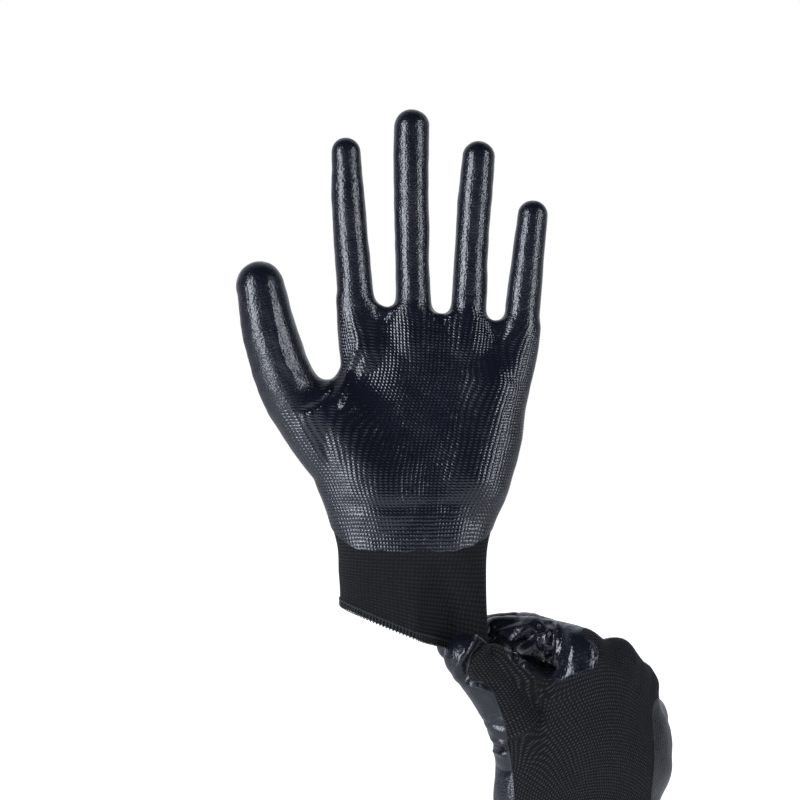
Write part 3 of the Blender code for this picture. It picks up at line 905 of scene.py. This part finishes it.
def make_cuff(skin, materials):
    """The knitted rib, a shell whose outside rises and falls with each rib."""
    glove, hand = skin.glove, skin.form.hand
    around = RIBS * 4
    bottom = glove.sections[0].z
    heights = np.arange(bottom, glove.cuff_top + 0.9, CUFF_COURSE / 2)
    wave = 0.5 + 0.5 * np.cos(np.arange(around) * math.tau / 4)
    places = []
    for height in heights:
        points, out = outline(hand, height, around, KNIT_OUTER)
        relief = RIB_HEIGHT * smooth_step((glove.cuff_top - height) / 4) * (wave - 0.5)
        places.append(points + out * relief[:, None])
    vertices = np.vstack(places)
    faces = grid_faces(len(heights), around)
    turn = np.tile(np.arange(around) / around * math.tau, len(heights))
    courses = np.repeat(heights / CUFF_COURSE, around)
    flat = np.zeros(len(vertices))
    columns = np.column_stack([vertices, vertex_normals(vertices, faces), np.cos(turn), np.sin(turn),
                               courses, flat, flat, flat])
    cuff = shell(f"{glove.name}_cuff", columns, faces, 0.0, KNIT_INNER - KNIT_OUTER, RIBS, materials["cuff"])
    settle(cuff, f"{glove.name}_hand", f"{glove.name}_cuff_knit")


def tube_mesh(paths, radius, sides):
    """Vertices and triangles of closed-ended tubes along equal-length paths."""
    paths = np.asarray(paths)
    tangents = np.gradient(paths, axis=1)
    tangents /= np.linalg.norm(tangents, axis=2, keepdims=True)
    up = np.array([0.31, 0.17, 0.93])
    side = np.cross(tangents, up)
    side /= np.linalg.norm(side, axis=2, keepdims=True)
    other = np.cross(tangents, side)
    angle = np.arange(sides) / sides * math.tau
    ring = (side[:, :, None] * np.cos(angle)[:, None] + other[:, :, None] * np.sin(angle)[:, None]) * radius
    vertices = (paths[:, :, None] + ring).reshape(-1, 3)
    count, rows = paths.shape[:2]
    one = grid_faces(rows, sides)
    caps = [[0, k + 1, k] for k in range(1, sides - 1)]
    last = (rows - 1) * sides
    caps += [[last, last + k, last + k + 1] for k in range(1, sides - 1)]
    one = np.vstack([one, caps])
    faces = (one[None] + (np.arange(count) * rows * sides)[:, None, None]).reshape(-1, 3)
    return vertices, faces


def make_hem(skin, materials):
    """The overlocked edge: threads wrapped over it at even steps, and a chain along each side."""
    glove, hand = skin.glove, skin.form.hand
    stitches, bite, thread = 116, 3.0, 0.26
    bottom = glove.sections[0].z
    edge, out = outline(hand, bottom, stitches * 2, (KNIT_OUTER + KNIT_INNER) / 2)
    up = np.array([0, 0, 1.0])
    half_wall = (KNIT_INNER - KNIT_OUTER) / 2 + thread
    down_one_side = [(half_wall, bite), (half_wall + 0.05, bite * 0.5), (half_wall, 0.1),
                     (half_wall * 0.5, -0.42)]
    up_the_other = [(-x, y) for x, y in reversed(down_one_side)]
    profile = rounded(down_one_side + up_the_other, 2)
    starts, normals = edge[::2], out[::2]
    along = np.roll(edge, -1, axis=0)[::2] - starts
    slant = np.linspace(0, 1, len(profile))[None, :, None] * along[:, None] * 0.9
    paths = (starts[:, None] + normals[:, None] * profile[None, :, :1] + up * profile[None, :, 1:] + slant)
    vertices, faces = tube_mesh(paths, thread, 5)
    chains = []
    for side in (1, -1):
        ripple = 0.35 * np.cos(np.arange(len(edge)) * math.pi)
        run = edge + out * side * (half_wall + 0.1) + up * (bite + ripple)[:, None]
        chains.append(np.vstack([run, run[:2]]))
    chain_vertices, chain_faces = tube_mesh(chains, thread * 1.1, 5)
    faces = np.vstack([faces, chain_faces + len(vertices)])
    vertices = np.vstack([vertices, chain_vertices])
    hem = new_object(f"{glove.name}_hem_stitches", vertices, faces, materials["hem"])
    settle(hem, f"{glove.name}_hand", f"{glove.name}_hem")


def make_elastic(skin, materials):
    """The covered yarn laid inside the rib."""
    glove, hand = skin.glove, skin.form.hand
    turns, steps = 7, 96
    low, high = glove.sections[0].z + 22, glove.cuff_top - 4
    path = []
    for i in range(turns * steps):
        height = low + (high - low) * i / (turns * steps)
        points, _ = outline(hand, height, steps, KNIT_INNER + 0.45)
        path.append(points[i % steps])
    vertices, faces = tube_mesh([path], 0.32, 6)
    elastic = new_object(f"{glove.name}_elastic_yarn", vertices, faces, materials["elastic"])
    settle(elastic, f"{glove.name}_hand", f"{glove.name}_cuff_elastic")


# ---- materials


class Tree:
    """The node tree of a material or a world, with short calls for its nodes."""

    def __init__(self, owner):
        owner.use_nodes = True
        self.tree = owner.node_tree

    def node(self, kind, inputs=(), **settings):
        made = self.tree.nodes.new(kind)
        for key, value in settings.items():
            setattr(made, key, value)
        for key, value in dict(inputs).items():
            self.set(made.inputs[key], value)
        return made

    def set(self, socket, value):
        if hasattr(value, "is_output"):
            self.tree.links.new(value, socket)
        else:
            socket.default_value = value

    def math(self, operation, *values):
        made = self.node("ShaderNodeMath", operation=operation)
        for socket, value in zip(made.inputs, values):
            self.set(socket, value)
        return made.outputs[0]

    def get(self, kind, output, inputs=(), **settings):
        """One output of a new node."""
        return self.node(kind, inputs, **settings).outputs[output]


class Nodes(Tree):
    """A new material's nodes."""

    def __init__(self, name):
        self.material = bpy.data.materials.new(name)
        super().__init__(self.material)
        self.shader = self.tree.nodes["Principled BSDF"]

    def mix(self, share, a, b):
        """a where share is 0 and b where it is 1, for numbers."""
        return self.math("ADD", self.math("MULTIPLY", a, self.math("SUBTRACT", 1.0, share)),
                         self.math("MULTIPLY", b, share))

    def ramp(self, value, *stops):
        """A colour that goes from one stop to the other with value; each stop is a value and a colour."""
        made = self.node("ShaderNodeValToRGB", {"Fac": value})
        for element, (spot, colour) in zip(made.color_ramp.elements, stops):
            element.position = spot
            element.color = (*colour, 1)
        return made.outputs["Color"]

    def noise(self, scale, detail=2.0, roughness=0.5):
        place = self.get("ShaderNodeTexCoord", "Object")
        return self.get("ShaderNodeTexNoise", "Fac", {"Vector": place, "Scale": scale, "Detail": detail,
                                                      "Roughness": roughness})

    def attribute(self, name):
        return self.get("ShaderNodeAttribute", "Fac", attribute_name=name)

    def stitch_place(self):
        """Position in wales and courses."""
        uv = self.get("ShaderNodeUVMap", "UV", uv_map="knit")
        split = self.node("ShaderNodeSeparateXYZ", {"Vector": uv})
        return split.outputs["X"], split.outputs["Y"]

    def stitches(self, u, v, width, height, slant):
        """The height of evenly spaced stitches, each a slanted mound."""
        x = self.math("SUBTRACT", self.math("FRACT", u), 0.5)
        along = self.math("ADD", v, self.math("MULTIPLY", x, slant))
        y = self.math("SUBTRACT", self.math("FRACT", along), 0.5)
        across, along = self.math("DIVIDE", x, width), self.math("DIVIDE", y, height)
        square = self.math("ADD", self.math("MULTIPLY", across, across), self.math("MULTIPLY", along, along))
        return self.math("EXPONENT", self.math("MULTIPLY", square, -1.0))

    def bump(self, height, strength, distance, normal=None):
        inputs = {"Height": height, "Strength": strength, "Distance": distance}
        if normal is not None:
            inputs["Normal"] = normal
        return self.get("ShaderNodeBump", "Normal", inputs)

    def finish(self, **inputs):
        for key, value in inputs.items():
            self.set(self.shader.inputs[key.replace("_", " ")], value)
        return self.material


def knit_material(name, dark, light, depth, width, height, slant):
    """Matte nylon yarn, darker between its stitches as painted shade and lighter on their tops as a painted
    highlight, with a soft sheen and a little fuzz.
    """
    nodes = Nodes(name)
    u, v = nodes.stitch_place()
    stitch = nodes.stitches(u, v, width, height, slant)
    fuzz = nodes.noise(2600.0, 3.0, 0.6)
    wear = nodes.noise(38.0, 3.0)
    # The stitch share of this colour is painted shade in the gaps between stitches and a painted highlight on
    # their tops; fuzz and wear vary the yarn's tone at random.
    shade = nodes.math("ADD", nodes.math("MULTIPLY", stitch, 0.85), nodes.math("MULTIPLY", fuzz, 0.15))
    shade = nodes.math("MULTIPLY", shade, nodes.math("ADD", 0.7, nodes.math("MULTIPLY", wear, 0.6)))
    # dark is painted shade between the stitches, light is a painted highlight on their tops.
    colour = nodes.ramp(shade, (0.15, dark), (0.85, light))
    normal = nodes.bump(fuzz, 0.25, 0.0002)
    normal = nodes.bump(stitch, 1.0, depth, normal)
    return nodes.finish(Base_Color=colour, Roughness=0.8, Normal=normal, Sheen_Weight=0.03,
                        Sheen_Roughness=0.5, Specular_IOR_Level=0.2)


def nitrile_material(name):
    """Glossy dipped nitrile. The stitches show through it, and its film is uneven at their scale."""
    nodes = Nodes(name)
    u, v = nodes.stitch_place()
    fine = nodes.stitches(u, v, 0.3, 0.34, 0.25)
    rows = nodes.stitches(u, nodes.math("MULTIPLY", v, COURSE / BAND_COURSE), 0.3, 0.3, 0.0)
    relief = nodes.mix(nodes.attribute("band"), fine, rows)
    film = nodes.noise(1000.0, 1.5, 0.6)
    waves = nodes.noise(170.0, 2.0, 0.5)
    mottle = nodes.noise(55.0, 3.0, 0.55)
    thick = nodes.ramp(nodes.attribute("dipped"), (0.0, (0, 0, 0)), (1.0, (1, 1, 1)))
    shade = nodes.math("ADD", nodes.math("MULTIPLY", mottle, 0.7), nodes.math("MULTIPLY", film, 0.3))
    colour = nodes.ramp(shade, (0.3, (0.0034, 0.0041, 0.0075)), (0.7, (0.0058, 0.0069, 0.012)))
    shown = nodes.attribute("shown")
    gloss = nodes.math("ADD", 0.19, nodes.math("MULTIPLY", mottle, 0.12))
    gloss = nodes.math("SUBTRACT", gloss, nodes.math("MULTIPLY", shown, 0.08))
    grain = nodes.math("SUBTRACT", 0.8, nodes.math("MULTIPLY", shown, 0.38))
    rough = nodes.mix(thick, 0.5, gloss)
    normal = nodes.bump(waves, 0.15, 0.0008)
    normal = nodes.bump(film, grain, 0.00034, normal)
    normal = nodes.bump(relief, nodes.math("MULTIPLY", shown, 0.85), 0.00024, normal)
    return nodes.finish(Base_Color=colour, Roughness=rough, Normal=normal, IOR=1.5)


def thread_material(name, colour_low, colour_high, roughness):
    """Twisted yarn, darker where its plies meet, as painted shade in the grooves between them."""
    nodes = Nodes(name)
    place = nodes.get("ShaderNodeTexCoord", "Object")
    twist = nodes.get("ShaderNodeTexWave", "Fac", {"Vector": place, "Scale": 900.0, "Distortion": 2.0,
                                                   "Detail": 1.0}, bands_direction="DIAGONAL")
    # The colour ramp paints shade in the grooves where the plies meet.
    colour = nodes.ramp(twist, (0.2, colour_low), (0.8, colour_high))
    return nodes.finish(Base_Color=colour, Roughness=roughness, Normal=nodes.bump(twist, 0.5, 0.0001),
                        Sheen_Weight=0.1)


def make_materials():
    return {
        # Each knit's dark and light colours are painted shade between its stitches and a painted highlight on
        # their tops.
        "knit": knit_material("knitted_nylon", (0.0004, 0.0004, 0.0006), (0.045, 0.041, 0.052), 0.0007,
                              0.24, 0.27, 0.4),
        "cuff": knit_material("ribbed_nylon", (0.0008, 0.0008, 0.001), (0.0125, 0.012, 0.015), 0.0006,
                              0.36, 0.3, 0.0),
        "nitrile": nitrile_material("nitrile"),
        "hem": thread_material("overlock_thread", (0.005, 0.005, 0.005), (0.017, 0.017, 0.018), 0.7),
        "elastic": thread_material("covered_rubber", (0.006, 0.006, 0.006), (0.02, 0.02, 0.02), 0.75),
    }


# ---- stage


def softbox(name, place, target, size, power):
    data = bpy.data.lights.new(name, "AREA")
    data.shape = "RECTANGLE"
    data.size, data.size_y = size
    data.energy = power
    data.color = COOL_WHITE
    lamp = bpy.data.objects.new(name, data)
    lamp.location = place
    lamp.rotation_euler = (Vector(target) - Vector(place)).to_track_quat("-Z", "Y").to_euler()
    bpy.context.scene.collection.objects.link(lamp)


def make_floor(low):
    data = bpy.data.meshes.new("studio_floor")
    reach = 6.0
    data.from_pydata([(-reach, -reach, low), (reach, -reach, low), (reach, reach, low), (-reach, reach, low)],
                     [], [(0, 1, 2, 3)])
    nodes = Nodes("studio_white")
    seen = nodes.get("ShaderNodeLightPath", "Is Camera Ray")
    glow = nodes.math("ADD", 0.15, nodes.math("MULTIPLY", seen, 0.85))
    data.materials.append(nodes.finish(Base_Color=(0.9, 0.9, 0.9, 1), Roughness=0.9,
                                       Emission_Color=(*WHITE, 1), Emission_Strength=glow))
    floor = bpy.data.objects.new("studio_floor", data)
    bpy.context.scene.collection.objects.link(floor)
    floor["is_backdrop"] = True


def make_world():
    """A light tent: white behind and beside the gloves, dark in front. The camera itself sees white."""
    world = bpy.data.worlds.new("light_tent")
    bpy.context.scene.world = world
    nodes = Tree(world)
    seen = nodes.get("ShaderNodeLightPath", "Is Camera Ray")
    place = nodes.get("ShaderNodeTexCoord", "Generated")
    depth = nodes.get("ShaderNodeSeparateXYZ", "Y", {"Vector": place})
    glow = nodes.get("ShaderNodeMapRange", "Result", {"Value": depth, "From Min": 0.1, "From Max": 0.8,
                                                      "To Min": 0.02, "To Max": 0.9})
    tint = nodes.get("ShaderNodeMix", "Result", {"Factor": seen, "A": (*COOL_WHITE, 1), "B": (*WHITE, 1)},
                     data_type="RGBA")
    background = nodes.tree.nodes["Background"]
    nodes.set(background.inputs["Strength"], nodes.math("MAXIMUM", glow, seen))
    nodes.set(background.inputs["Color"], tint)


def make_camera():
    """A long lens square on to the left palm. span is the width of what it sees at the gloves."""
    span, lens, sensor = 0.3736, 100.0, 36.0
    aim = Vector((-0.0056, 0, 0.1018))
    data = bpy.data.cameras.new("camera")
    data.lens = lens
    data.sensor_width = sensor
    camera = bpy.data.objects.new("camera", data)
    camera.location = aim + Vector((0, -span * lens / sensor, 0))
    camera.rotation_euler = (math.pi / 2, 0, 0)
    bpy.context.scene.collection.objects.link(camera)
    bpy.context.scene.camera = camera


def make_stage():
    """The floor leaves room for the right glove to be pulled down and away."""
    pull_room = 0.11
    make_floor(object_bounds()[0][2] - pull_room)
    make_world()
    center = (0.01, 0, 0.08)
    softbox("left_softbox", (-0.98, -0.78, 0.2), center, (0.46, 1.2), 28)
    softbox("right_softbox", (1.05, -0.62, 0.2), center, (0.26, 1.2), 13)
    bpy.context.scene.view_settings.view_transform = "Standard"


# ---- the pair

make_camera()
finishes = make_materials()
for one in (LEFT, RIGHT):
    fabric = Skin(one)
    dress_stalls(fabric, finishes)
    dress_hand(fabric, finishes)
    make_cuff(fabric, finishes)
    make_hem(fabric, finishes)
    make_elastic(fabric, finishes)
make_stage()
